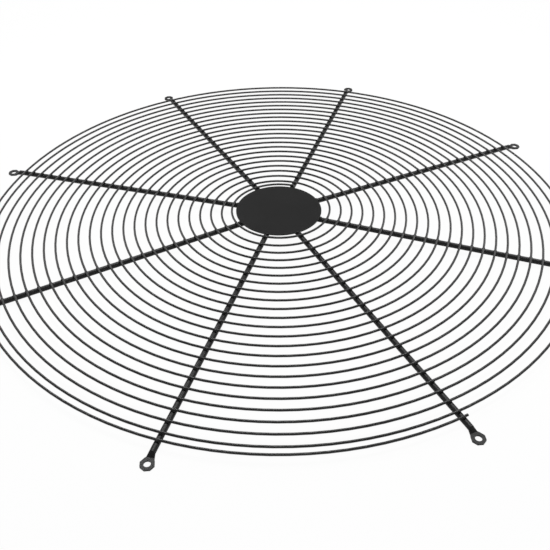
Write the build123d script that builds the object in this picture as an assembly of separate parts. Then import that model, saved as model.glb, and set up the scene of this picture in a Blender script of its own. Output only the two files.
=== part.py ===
from build123d import *
import math
import os

# Wire fan guard: a spiral wire welded on eight radial rods with eyelets, closed by a disc at the centre.
# Millimetres, +Z up. The origin is the centre of the hole circle, level with the eyelets' undersides.
# The wires lie on a shallow cone that rises from the last turn to the centre.

# Spiral wire
wire_diameter = 3.0
wire_pitch = 15.0  # from turn to turn
whole_turns = 22  # wound at the full pitch
disc_to_wire = 4.4  # gap between the disc's edge and the first half turn
first_turn_gap = 9.0  # from the first to the second turn, at the first rod
last_turn_growth = 1.8  # over the half turn that closes the spiral
wire_start_overhang = 3.0  # before the middle of the first rod
wire_end_overhang = 4.6  # past the middle of the last rod that it crosses
guard_rise = 9.6  # of the wires' cone, from the last turn to the axis

# Radial rods
rod_count = 8
rod_diameter = 7.0
rod_overlap = 17.5  # of the rods' inner ends under the disc
rim_lift = 0.8  # of the rods above the mounting plane, at the last turn
weld_gap = 0.05  # between the wire and the rods, and between the rods and the disc

# Rod ends, bent down to the mounting plane and pressed flat
bend_length = 5.5  # from the bend to the shoulder
bend_radius = 15.0
shoulder_lift = 0.3  # of the round rod above the mounting plane, where the pressing starts
shoulder_length = 5.0  # from the round rod to the flat

# Eyelets
eyelet_reach = 24.3  # from the last turn's centre line to the hole
eyelet_hole_diameter = 7.5
eyelet_across_corners = 15.8
eyelet_sides = 8
eyelet_corner_radius = 0.5
eyelet_thickness = 2.0
neck_length = 7.5  # from the shoulder to the hole
neck_width = 8.8  # at the shoulder

# Centre disc
disc_diameter = 119.0
disc_thickness = 1.5
disc_edge_radius = 0.5

# Places that follow from these sizes
wire_radius = wire_diameter / 2
rod_radius = rod_diameter / 2
rod_inner_radius = disc_diameter / 2 - rod_overlap
first_turn_radius = disc_diameter / 2 + disc_to_wire + wire_radius  # of the centre line
second_turn_radius = first_turn_radius + first_turn_gap
last_full_radius = second_turn_radius + whole_turns * wire_pitch
outer_radius = last_full_radius + last_turn_growth
hole_circle_radius = outer_radius + eyelet_reach
flat_start_radius = hole_circle_radius - neck_length
slope_angle = math.atan2(guard_rise, outer_radius)
rod_spacing = 360 / rod_count
first_rod_angle = 90
half_turn = 180
closing_sweep = rod_spacing - half_turn % rod_spacing  # from the last half turn to the next rod


def rod_height(radius):
    """Height of a rod's axis at a distance from the guard's axis."""
    return rim_lift + rod_radius + (outer_radius - radius) * math.tan(slope_angle)


def wire_height(radius):
    """Height of the wire's centre line, where it lies on the rods."""
    return rod_height(radius) + (rod_radius + wire_radius + weld_gap) / math.cos(slope_angle)


def half_turn_radii():
    """Radius of the centre line at the start of each half turn, and at the end of the last one."""
    steps = range(2 * whole_turns + 1)
    growing = [second_turn_radius + step * wire_pitch / 2 for step in steps]
    return [first_turn_radius, first_turn_radius, *growing, outer_radius]


def half_turn_arc(start_radius, end_radius, side):
    """Half a circle that falls down the cone and stays level and square to the radius at both ends."""
    start = Vector(0, side * start_radius, wire_height(start_radius))
    end = Vector(0, -side * end_radius, wire_height(end_radius))
    middle = (start + end) * 0.5 - Vector(side * (end - start).length / 2, 0, 0)
    return ThreePointArc(start, middle, end)


def level_arc(radius, start_angle, sweep_angle):
    """Arc about the guard's axis at the cone's height."""
    return Pos(0, 0, wire_height(radius)) * CenterArc((0, 0, 0), radius, start_angle, sweep_angle)


def spiral_path():
    """Centre line of the whole wire, from just before the first rod to just past the last."""
    radii = half_turn_radii()
    lead = math.degrees(wire_start_overhang / first_turn_radius)
    tail = math.degrees(wire_end_overhang / outer_radius)
    edges = [level_arc(first_turn_radius, first_rod_angle - lead, lead)]
    side = 1
    for start_radius, end_radius in zip(radii, radii[1:]):
        edges.append(half_turn_arc(start_radius, end_radius, side))
        side = -side
    edges.append(level_arc(outer_radius, side * first_rod_angle, closing_sweep + tail))
    return Wire(edges)


def spiral_wire():
    path = spiral_path()
    section = Plane(origin=path @ 0, z_dir=path % 0) * Circle(wire_radius)
    return sweep(section, path=path)


def round_rod():
    """Straight rod down the cone, bent towards the mounting plane at its outer end."""
    shoulder_radius = flat_start_radius - shoulder_length
    bend_place = shoulder_radius - bend_length
    inner_end = Vector(rod_inner_radius, 0, rod_height(rod_inner_radius))
    bend = Vector(bend_place, 0, rod_height(bend_place))
    shoulder = Vector(shoulder_radius, 0, rod_radius + shoulder_lift)
    path = FilletPolyline(inner_end, bend, shoulder, radius=bend_radius)
    section = Plane(origin=path @ 0, z_dir=path % 0) * Circle(rod_radius)
    end_plane = Plane(origin=path @ 1, x_dir=(0, 1, 0), z_dir=path % 1)
    return sweep(section, path=path), end_plane * Circle(rod_radius)


def shoulder(rod_end):
    """Pressed transition from the round rod to the flat neck."""
    flat_plane = Plane(origin=(flat_start_radius, 0, eyelet_thickness / 2), x_dir=(0, 1, 0), z_dir=(1, 0, 0))
    return loft([rod_end, flat_plane * Rectangle(neck_width, eyelet_thickness)], ruled=True)


def eyelet():
    """Flat neck that widens into an eight-sided head, with its hole."""
    head = Pos(hole_circle_radius, 0) * RegularPolygon(eyelet_across_corners / 2, eyelet_sides)
    neck = Line((flat_start_radius, -neck_width / 2), (flat_start_radius, neck_width / 2))
    outline = make_hull([*head.edges(), neck])
    corners = outline.vertices().filter_by(lambda corner: corner.X > hole_circle_radius - eyelet_corner_radius)
    outline = fillet(corners, eyelet_corner_radius)
    hole = Pos(hole_circle_radius, 0) * Circle(eyelet_hole_diameter / 2)
    return extrude(outline - hole, eyelet_thickness)


def radial_rod():
    rod, rod_end = round_rod()
    return rod + shoulder(rod_end) + eyelet()


def centre_disc():
    """Sheet blank on the rods' inner ends, with the rounded upper edge that punching leaves."""
    seat = rod_height(rod_inner_radius) + rod_radius / math.cos(slope_angle) + weld_gap
    blank = extrude(Pos(0, 0, seat) * Circle(disc_diameter / 2), disc_thickness)
    rim = blank.edges().group_by(Axis.Z)[-1]
    return fillet(rim, disc_edge_radius)


def write_parts():
    os.makedirs("parts", exist_ok=True)
    export_step(spiral_wire(), "parts/spiral_wire.step")
    export_step(centre_disc(), "parts/centre_disc.step")
    rod = radial_rod()
    for index in range(rod_count):
        angle = first_rod_angle + index * rod_spacing
        export_step(Rot(0, 0, angle) * rod, f"parts/radial_rod_{index + 1}.step")


write_parts()
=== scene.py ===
import logging
import math
from dataclasses import dataclass
from enum import Enum
from typing import Any, Mapping

import bmesh
import bpy
import numpy as np
from mathutils import Matrix, Vector


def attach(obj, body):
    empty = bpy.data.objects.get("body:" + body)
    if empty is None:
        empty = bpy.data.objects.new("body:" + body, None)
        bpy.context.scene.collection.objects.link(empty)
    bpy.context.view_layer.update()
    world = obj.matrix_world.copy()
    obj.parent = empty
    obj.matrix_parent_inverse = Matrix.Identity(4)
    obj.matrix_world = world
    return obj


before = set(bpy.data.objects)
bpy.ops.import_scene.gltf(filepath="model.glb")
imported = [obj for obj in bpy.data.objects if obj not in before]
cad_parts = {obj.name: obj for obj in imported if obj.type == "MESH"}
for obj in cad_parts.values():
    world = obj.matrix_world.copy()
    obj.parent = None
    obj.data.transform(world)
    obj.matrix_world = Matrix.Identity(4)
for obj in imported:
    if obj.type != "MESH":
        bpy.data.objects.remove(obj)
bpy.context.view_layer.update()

log = logging.getLogger("fan_guard")

# Packed fan guard with its coats and weld beads, in a plain studio and seen from the photograph's place.
# Lengths are in metres.
BODY = "root"
MILLIMETRES = 1000.0
HALF_TURN = 180.0  # degrees
FULL_TURN = 360.0

# Places of the sockets of a Mix node that blends colours
MIX_SHARE = 0
MIX_FIRST = 6
MIX_SECOND = 7
MIX_RESULT = 2


class Channel:
    """A shader node's output that can stand in sums and products."""

    def __init__(self, graph: "ShaderGraph", socket: bpy.types.NodeSocket) -> None:
        """Keeps the socket and the graph that it belongs to."""
        self.graph = graph
        self.socket = socket

    def _math(self, operation: str, first: "Value", second: "Value") -> "Channel":
        """Adds a Math node.

        Args:
            operation: the Math node's operation.
            first: its first value or link.
            second: its second value or link.

        Returns:
            The node's result.
        """
        return self.graph.node("ShaderNodeMath", {"operation": operation}, {0: first, 1: second})

    def __add__(self, other: "Value") -> "Channel":
        """Sum with a number or another channel."""
        return self._math("ADD", self, other)

    __radd__ = __add__

    def __sub__(self, other: "Value") -> "Channel":
        """Difference from a number or another channel."""
        return self._math("SUBTRACT", self, other)

    def __rsub__(self, other: "Value") -> "Channel":
        """A number less this channel."""
        return self._math("SUBTRACT", other, self)

    def __mul__(self, other: "Value") -> "Channel":
        """Product with a number or another channel."""
        return self._math("MULTIPLY", self, other)

    __rmul__ = __mul__


Value = Channel | float | int | tuple


class ShaderGraph:
    """The node tree of one material or of the world."""

    def __init__(self, owner: bpy.types.Material | bpy.types.World) -> None:
        """Empties the owner's node tree.

        Args:
            owner: the material or world that gets the nodes.
        """
        owner.use_nodes = True
        self.tree = owner.node_tree
        self.tree.nodes.clear()

    def node(
        self,
        kind: str,
        settings: Mapping[str, Any] | None = None,
        values: Mapping[str | int, Value] | None = None,
        output: str | int = 0,
    ) -> Channel:
        """Makes one node.

        Args:
            kind: the node's type.
            settings: its properties, set first.
            values: a number, colour or channel for each socket, by name or place.
            output: the output to hand back, by name or place.

        Returns:
            That output, or the first input of a node that has no outputs.
        """
        made = self.tree.nodes.new(kind)
        for key, setting in (settings or {}).items():
            setattr(made, key, setting)
        for place, value in (values or {}).items():
            if isinstance(value, Channel):
                self.tree.links.new(value.socket, made.inputs[place])
            else:
                made.inputs[place].default_value = value
        sockets = made.outputs or made.inputs
        return Channel(self, sockets[output])

    def mix_colours(self, share: Value, first: Value, second: Value) -> Channel:
        """Blends two colours.

        Args:
            share: how much of the second colour shows.
            first: the colour where share is 0.
            second: the colour where share is 1.

        Returns:
            The blended colour.
        """
        values = {MIX_SHARE: share, MIX_FIRST: first, MIX_SECOND: second}
        return self.node("ShaderNodeMix", {"data_type": "RGBA"}, values, output=MIX_RESULT)

    def is_ray(self, *kinds: str) -> Channel:
        """Tells which rays are traced.

        Args:
            kinds: kinds of rays, as the Light Path node names them.

        Returns:
            1 for rays of these kinds and 0 for all others.
        """
        first, *others = (self.node("ShaderNodeLightPath", output=f"Is {kind} Ray") for kind in kinds)
        return sum(others, first)


def grey(level: float) -> tuple[float, float, float, float]:
    """Neutral colour of a linear level."""
    return (level, level, level, 1.0)


class CoatedPart(Enum):
    """What a coat lies on; each gets its own settings. The rods and the sheet carry the same black powder
    coat as the wire, but the rods' base is set lighter as painted light and the sheet's darker as painted
    shade.
    """

    WIRE = "coat_on_wire"
    ROD = "coat_on_rod_painted_light"
    SHEET = "coat_on_sheet_painted_shade"
    WELD = "coat_on_weld"


@dataclass(frozen=True)
class NoiseLayer:
    """Noise with blobs of a given size, in metres, and a number of finer octaves."""

    size: float
    detail: float

    def channel(self, graph: ShaderGraph, place: Channel) -> Channel:
        """Adds the noise to a material.

        Args:
            graph: the material's nodes.
            place: the coordinates, in metres.

        Returns:
            Values from 0 to 1.
        """
        values = {"Vector": place, "Scale": 1.0 / self.size, "Detail": self.detail}
        return graph.node("ShaderNodeTexNoise", None, values)


@dataclass(frozen=True)
class PowderCoat:
    """Semi-matt black powder coat on steel.

    Colours are linear levels. The grain's shares say how much it counts beside the patches or the peel.
    """

    part: CoatedPart
    dark: float = 0.018
    light: float = 0.026
    roughness: float = 0.32
    roughness_spread: float = 0.10
    specular: float = 0.15
    patches: NoiseLayer = NoiseLayer(0.03, 3.0)
    peel: NoiseLayer = NoiseLayer(0.0011, 1.5)
    grain: NoiseLayer = NoiseLayer(0.00035, 2.0)
    peel_height: float = 0.00004
    grain_in_colour: float = 0.4
    grain_in_roughness: float = 0.5
    grain_in_relief: float = 0.2
    noise_middle: float = 0.5

    def material(self) -> bpy.types.Material:
        """Builds the finish.

        Returns:
            A material whose colour, roughness and surface all vary a little over the part.
        """
        made = bpy.data.materials.new(self.part.value)
        graph = ShaderGraph(made)
        place = graph.node("ShaderNodeTexCoord", output="Object")
        patches = self.patches.channel(graph, place)
        peel = self.peel.channel(graph, place)
        grain = self.grain.channel(graph, place)
        relief = self._blend(peel, grain, self.grain_in_relief)
        values = {"Strength": 1.0, "Distance": self.peel_height, "Height": relief}
        bump = graph.node("ShaderNodeBump", None, values)
        tone = self._blend(patches, grain, self.grain_in_colour)
        colour = graph.mix_colours(tone, grey(self.dark), grey(self.light))
        unevenness = self._blend(patches, grain, self.grain_in_roughness) - self.noise_middle
        roughness = self.roughness + self.roughness_spread * unevenness
        shader = graph.node(
            "ShaderNodeBsdfPrincipled",
            None,
            {
                "Base Color": colour,
                "Roughness": roughness,
                "Specular IOR Level": self.specular,
                "Normal": bump,
            },
        )
        graph.node("ShaderNodeOutputMaterial", None, {"Surface": shader})
        return made

    @staticmethod
    def _blend(first: Channel, second: Channel, share: float) -> Channel:
        """Weighted mean of two channels; share is the weight of the second."""
        return first * (1.0 - share) + second * share


@dataclass(frozen=True)
class FloorFinish:
    """Plain white floor that keeps a faint share of the shadow."""

    name: str = "studio_floor"
    colour: float = 0.92
    shadow_share: float = 0.04

    def material(self) -> bpy.types.Material:
        """Builds the floor's finish.

        Returns:
            A diffuse white that the camera sees partly as plain white.
        """
        made = bpy.data.materials.new(self.name)
        graph = ShaderGraph(made)
        seen = graph.is_ray("Camera", "Glossy", "Transmission")
        matt = graph.node("ShaderNodeBsdfDiffuse", None, {"Color": grey(self.colour)})
        white = graph.node("ShaderNodeEmission", None, {"Color": grey(1.0), "Strength": 1.0})
        plain_share = seen * (1.0 - self.shadow_share)
        shown = graph.node("ShaderNodeMixShader", None, {0: plain_share, 1: matt, 2: white})
        graph.node("ShaderNodeOutputMaterial", None, {"Surface": shown})
        return made


@dataclass(frozen=True)
class Lamp:
    """Square soft lamp that points at the guard's middle."""

    name: str
    place: tuple[float, float, float]
    side: float
    power: float

    def build(self) -> None:
        """Hangs the lamp and turns it to the guard."""
        data = bpy.data.lights.new(self.name, "AREA")
        data.size = self.side
        data.energy = self.power
        lamp = bpy.data.objects.new(self.name, data)
        lamp.location = self.place
        lamp.rotation_euler = (-Vector(self.place)).to_track_quat("-Z", "Y").to_euler()
        bpy.context.scene.collection.objects.link(lamp)


@dataclass
class Studio:
    """Pale floor, white surroundings and soft lamps.

    Ambient is the level of the surroundings' own light. The coat reflects the surroundings as white at
    the horizon, and horizon_fall is how fast that falls with height, down to the level of the ceiling.
    """

    floor_side: float = 14.0
    floor_drop: float = 0.0002
    ambient: float = 0.08
    horizon_fall: float = 1.6
    ceiling: float = 0.12
    floor: FloorFinish = FloorFinish()
    lamps: tuple[Lamp, ...] = (
        Lamp("near_left_lamp", (-0.63, 0.29, 0.45), 0.4, 0.8),
        Lamp("near_right_lamp", (0.35, 0.6, 0.45), 0.4, 1.0),
        Lamp("left_lamp", (-0.89, 0.81, 1.6), 0.5, 11.0),
        Lamp("right_lamp", (0.63, 0.81, 1.71), 0.5, 10.0),
        Lamp("low_left_lamp", (-2.54, 1.47, 0.62), 1.2, 3.0),
        Lamp("low_right_lamp", (1.10, 2.72, 0.62), 1.2, 8.0),
        Lamp("high_lamp", (-0.21, 0.64, 2.51), 0.8, 30.0),
    )

    def build(self) -> None:
        """Sets up floor, world and lamps."""
        bpy.context.scene.view_settings.view_transform = "Standard"
        self._lay_floor()
        self._light_world()
        for lamp in self.lamps:
            lamp.build()
        log.info("studio: floor %.0f m wide, %d lamps", self.floor_side, len(self.lamps))

    def _lay_floor(self) -> None:
        """Lays the floor just under the eyelets."""
        half = self.floor_side / 2
        outline = ((-half, -half), (half, -half), (half, half), (-half, half))
        corners = [(x, y, -self.floor_drop) for x, y in outline]
        mesh = bpy.data.meshes.new(self.floor.name)
        mesh.from_pydata(corners, [], [(0, 1, 2, 3)])
        mesh.materials.append(self.floor.material())
        floor = bpy.data.objects.new(self.floor.name, mesh)
        bpy.context.scene.collection.objects.link(floor)

    def _light_world(self) -> None:
        """White surroundings that light the guard at a plain level."""
        world = bpy.data.worlds.new("white_surroundings")
        bpy.context.scene.world = world
        graph = ShaderGraph(world)
        seen = graph.is_ray("Camera", "Transmission")
        glossy = graph.is_ray("Glossy")
        direction = graph.node("ShaderNodeTexCoord", output="Generated")
        height = graph.node("ShaderNodeSeparateXYZ", None, {"Vector": direction}, output="Z")
        falling = 1.0 - height * self.horizon_fall
        reflected = graph.node("ShaderNodeMath", {"operation": "MAXIMUM"}, {0: falling, 1: self.ceiling})
        strength = self.ambient * (1.0 - glossy) + (1.0 - self.ambient) * seen + glossy * reflected
        light = graph.node("ShaderNodeBackground", None, {"Color": grey(1.0), "Strength": strength})
        graph.node("ShaderNodeOutputWorld", None, {"Surface": light})


@dataclass
class PhotoCamera:
    """Camera at the photograph's place, given from the guard's hub.

    Angles are in degrees. Depth is along the view and the sensor's width is in millimetres.
    """

    picture_side: int = 550
    focal_pixels: float = 722.4
    azimuth: float = 17.99
    elevation: float = 39.66
    roll: float = -0.69
    depth: float = 1.0073
    hub_height: float = 0.0183
    hub_pixel: tuple[float, float] = (278.73, 209.11)
    sensor_width: float = 36.0

    def axes(self) -> tuple[Vector, Vector, Vector]:
        """Directions of the picture.

        Returns:
            Right, down and forward, as unit vectors.
        """
        turn, tilt, roll = (math.radians(angle) for angle in (self.azimuth, self.elevation, self.roll))
        reach = math.cos(tilt)
        forward = Vector((-math.sin(turn) * reach, math.cos(turn) * reach, -math.sin(tilt)))
        level = Vector((math.cos(turn), math.sin(turn), 0.0))
        plumb = forward.cross(level)
        right = math.cos(roll) * level - math.sin(roll) * plumb
        down = math.sin(roll) * level + math.cos(roll) * plumb
        return right, down, forward

    def build(self) -> None:
        """Places the camera and makes it the scene's."""
        right, down, forward = self.axes()
        across, below = ((pixel - self.picture_side / 2) / self.focal_pixels for pixel in self.hub_pixel)
        hub = Vector((0.0, 0.0, self.hub_height))
        place = hub - self.depth * (across * right + below * down + forward)
        turned = Matrix((right, -down, -forward)).transposed().to_4x4()
        data = bpy.data.cameras.new("photo_camera")
        data.sensor_width = self.sensor_width
        data.lens = self.focal_pixels / self.picture_side * self.sensor_width
        camera = bpy.data.objects.new("photo_camera", data)
        camera.matrix_world = Matrix.Translation(place) @ turned
        bpy.context.scene.collection.objects.link(camera)
        bpy.context.scene.camera = camera
        log.info("camera: %.2f mm lens, %.3f m from the hub", data.lens, (place - hub).length)


@dataclass
class RadialRods:
    """Eight rods that lie on a shallow cone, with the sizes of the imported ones. Angles are in degrees."""

    count: int = 8
    diameter: float = 0.007
    first_angle: float = 90.0
    outer_radius: float = 0.4062
    rim_lift: float = 0.0008
    rise: float = 0.0096
    # Same powder coat as the wire, with a lighter base level: painted light that lifts the rods' tone.
    coat: PowderCoat = PowderCoat(CoatedPart.ROD, dark=0.026, light=0.034, specular=0.12)

    @property
    def spacing(self) -> float:
        """Angle from one rod to the next, in degrees."""
        return FULL_TURN / self.count

    @property
    def slope(self) -> float:
        """Angle of the cone to the level, in radians."""
        return math.atan2(self.rise, self.outer_radius)

    def angle(self, index: int) -> float:
        """Direction of a rod seen from above, in radians."""
        return math.radians(self.first_angle + index * self.spacing)

    def top_height(self, radius: float) -> float:
        """Height of a rod's upper side at a distance from the axis."""
        middle = self.rim_lift + self.diameter / 2 + (self.outer_radius - radius) * math.tan(self.slope)
        return middle + self.diameter / 2 / math.cos(self.slope)

    def place_at(self, index: int, radius: float) -> Matrix:
        """Frame on the upper side of a rod.

        Args:
            index: which rod, from 0.
            radius: distance from the axis.

        Returns:
            A matrix with +X across the rod, +Y outwards along it and +Z off its surface.
        """
        angle = self.angle(index)
        spot = Vector((radius * math.cos(angle), radius * math.sin(angle), self.top_height(radius)))
        turned = Matrix.Rotation(angle - math.pi / 2, 4, "Z") @ Matrix.Rotation(-self.slope, 4, "X")
        return Matrix.Translation(spot) @ turned

    def dress(self) -> None:
        """Coats the rods."""
        finish = self.coat.material()
        for index in range(self.count):
            coat_node(f"radial_rod_{index + 1}", finish)
        log.info("rods: %d coated", self.count)


@dataclass
class SpiralWire:
    """Wire wound outwards in half turns about two centres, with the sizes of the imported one.

    The closing sweep is in degrees, from the last half turn to the last rod that the wire crosses.
    """

    diameter: float = 0.003
    pitch: float = 0.015
    whole_turns: int = 22
    first_radius: float = 0.0654
    first_gap: float = 0.009
    last_growth: float = 0.0018
    closing_sweep: float = 45.0
    coat: PowderCoat = PowderCoat(CoatedPart.WIRE, specular=0.4, roughness=0.28)

    def half_turn_radii(self) -> list[float]:
        """Works out how the wire widens.

        Returns:
            The radius at the start of each half turn, and at the end of the last one.
        """
        second = self.first_radius + self.first_gap
        growing = [second + step * self.pitch / 2 for step in range(2 * self.whole_turns + 1)]
        return [self.first_radius, self.first_radius, *growing, growing[-1] + self.last_growth]

    def radius_at(self, wound: float) -> float:
        """Distance of the centre line from the axis.

        Args:
            wound: angle from the wire's first rod, in degrees.

        Returns:
            The distance.
        """
        radii = self.half_turn_radii()
        half = int(wound // HALF_TURN)
        if half >= len(radii) - 1:
            return radii[-1]
        start, end = radii[half], radii[half + 1]
        offset = (start - end) / 2
        along = offset * math.cos(math.radians(wound - HALF_TURN * half))
        return along + math.sqrt(along**2 - offset**2 + ((start + end) / 2) ** 2)

    def crossings(self, rod_angle: float) -> list[float]:
        """Where the wire crosses a rod.

        Args:
            rod_angle: from the wire's first rod to this one, in degrees.

        Returns:
            The crossings' distances from the axis, from the inside out.
        """
        total = HALF_TURN * (len(self.half_turn_radii()) - 1) + self.closing_sweep
        turns = int((total - rod_angle) // FULL_TURN) + 1
        return [self.radius_at(rod_angle + FULL_TURN * turn) for turn in range(turns)]

    def dress(self) -> None:
        """Coats the wire."""
        coat_node("spiral_wire", self.coat.material())
        log.info("wire: %.1f mm, coated", self.diameter * MILLIMETRES)


@dataclass
class CentreDisc:
    """Sheet disc on the rods' inner ends."""

    diameter: float = 0.119
    # Same powder coat as the wire, with a darker base level: painted shade on the flat sheet.
    coat: PowderCoat = PowderCoat(CoatedPart.SHEET, dark=0.013, light=0.018)

    def dress(self) -> None:
        """Coats the disc."""
        coat_node("centre_disc", self.coat.material())
        log.info("disc: %.0f mm, coated", self.diameter * MILLIMETRES)


@dataclass(frozen=True)
class LumpyBead:
    """A small closed lump of weld metal, whose surface a few random waves make uneven.

    Wave height and spread are shares of the bead's size.
    """

    half_across: float
    half_along: float
    half_height: float
    waves: int = 3
    wave_rate: float = 3.1
    wave_height: float = 0.035
    spread: float = 0.06

    def points(self, ball: np.ndarray, dice: np.random.Generator) -> np.ndarray:
        """Shapes a unit ball into one bead.

        Args:
            ball: points of a unit ball.
            dice: seeded random numbers.

        Returns:
            Points about the bead's middle.
        """
        swell = np.ones(len(ball))
        for _ in range(self.waves):
            direction = dice.normal(size=3)
            direction /= np.linalg.norm(direction)
            phase = dice.uniform(0, 2 * math.pi)
            swell += self.wave_height * np.cos(self.wave_rate * ball @ direction + phase)
        stretch = dice.uniform(1.0 - self.spread, 1.0 + self.spread, size=3)
        half = np.array([self.half_across, self.half_along, self.half_height]) * stretch
        return ball * swell[:, None] * half


def fall_beside(radius: float, offsets: np.ndarray) -> np.ndarray:
    """How far a round bar's surface lies below its highest line, at offsets across the bar."""
    return radius - np.sqrt(np.maximum(radius**2 - offsets**2, 0.0))


@dataclass
class WeldBeads:
    """Weld metal where the wire crosses the rods and where the rods meet the disc.

    Wrap is how far a crossing's bead follows the curves of the wire and the rod, from 0 to 1.
    """

    rods: RadialRods
    wire: SpiralWire
    disc: CentreDisc
    crossing: LumpyBead = LumpyBead(0.0027, 0.0021, 0.0012)
    wrap: float = 0.75
    rim: LumpyBead = LumpyBead(0.0036, 0.0022, 0.0014)
    rim_offset: float = 0.0006
    coat: PowderCoat = PowderCoat(
        CoatedPart.WELD,
        dark=0.028,
        light=0.036,
        roughness=0.5,
        peel=NoiseLayer(0.0009, 1.5),
        peel_height=0.00007,
    )
    subdivisions: int = 3
    seed: int = 17

    def build(self) -> None:
        """Builds one piece of weld beads for each rod."""
        finish = self.coat.material()
        ball, faces = self._unit_ball()
        dice = np.random.default_rng(self.seed)
        for index in range(self.rods.count):
            crossings = self.wire.crossings(index * self.rods.spacing)
            beads = [self._crossing_bead(index, radius, ball, dice) for radius in crossings]
            beads.append(self._rim_bead(index, ball, dice))
            piece = self._join(f"weld_beads_{index + 1}", beads, faces)
            piece.data.materials.append(finish)
            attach(piece, BODY)
            log.info("%s: %d beads", piece.name, len(beads))

    def _unit_ball(self) -> tuple[np.ndarray, list[tuple[int, ...]]]:
        """Makes the ball that every bead is shaped from.

        Returns:
            Points and faces of a ball of radius 1.
        """
        shape = bmesh.new()
        bmesh.ops.create_icosphere(shape, subdivisions=self.subdivisions, radius=1.0)
        points = np.array([corner.co[:] for corner in shape.verts])
        faces = [tuple(corner.index for corner in face.verts) for face in shape.faces]
        shape.free()
        return points, faces

    def _crossing_bead(
        self, index: int, radius: float, ball: np.ndarray, dice: np.random.Generator
    ) -> np.ndarray:
        """Bead between the wire and a rod, curved round both.

        Args:
            index: which rod, from 0.
            radius: the crossing's distance from the axis.
            ball: points of a unit ball.
            dice: seeded random numbers.

        Returns:
            The bead's points in the guard's frame.
        """
        points = self.crossing.points(ball, dice)
        over_rod = fall_beside(self.rods.diameter / 2, points[:, 0])
        under_wire = fall_beside(self.wire.diameter / 2, points[:, 1])
        points[:, 2] += self.wrap * (under_wire - over_rod)
        return self._placed(points, self.rods.place_at(index, radius))

    def _rim_bead(self, index: int, ball: np.ndarray, dice: np.random.Generator) -> np.ndarray:
        """Fillet between a rod and the disc's edge.

        Args:
            index: which rod, from 0.
            ball: points of a unit ball.
            dice: seeded random numbers.

        Returns:
            The fillet's points in the guard's frame.
        """
        points = self.rim.points(ball, dice)
        points[:, 2] -= fall_beside(self.rods.diameter / 2, points[:, 0])
        return self._placed(points, self.rods.place_at(index, self.disc.diameter / 2 + self.rim_offset))

    @staticmethod
    def _placed(points: np.ndarray, place: Matrix) -> np.ndarray:
        """Moves points into a frame."""
        moved = np.array(place)
        return points @ moved[:3, :3].T + moved[:3, 3]

    @staticmethod
    def _join(name: str, beads: list[np.ndarray], faces: list[tuple[int, ...]]) -> bpy.types.Object:
        """Puts beads of the same faces into one mesh.

        Args:
            name: the piece's name.
            beads: each bead's points.
            faces: the faces of one bead.

        Returns:
            The piece.
        """
        starts = range(0, len(beads) * len(beads[0]), len(beads[0]))
        every = [tuple(start + corner for corner in face) for start in starts for face in faces]
        mesh = bpy.data.meshes.new(name)
        mesh.from_pydata(np.concatenate(beads).tolist(), [], every)
        mesh.polygons.foreach_set("use_smooth", [True] * len(mesh.polygons))
        piece = bpy.data.objects.new(name, mesh)
        bpy.context.scene.collection.objects.link(piece)
        return piece


def coat_node(name: str, finish: bpy.types.Material) -> None:
    """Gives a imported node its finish.

    Args:
        name: the node's name.
        finish: the material.
    """
    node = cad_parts[name]
    node.data.materials.clear()
    node.data.materials.append(finish)


def main() -> None:
    """Builds the scene in order."""
    logging.basicConfig(level=logging.INFO, format="%(name)s: %(message)s")
    PhotoCamera().build()
    Studio().build()
    rods, wire, disc = RadialRods(), SpiralWire(), CentreDisc()
    for part in (rods, wire, disc):
        part.dress()
    WeldBeads(rods, wire, disc).build()


if __name__ == "__main__":
    main()
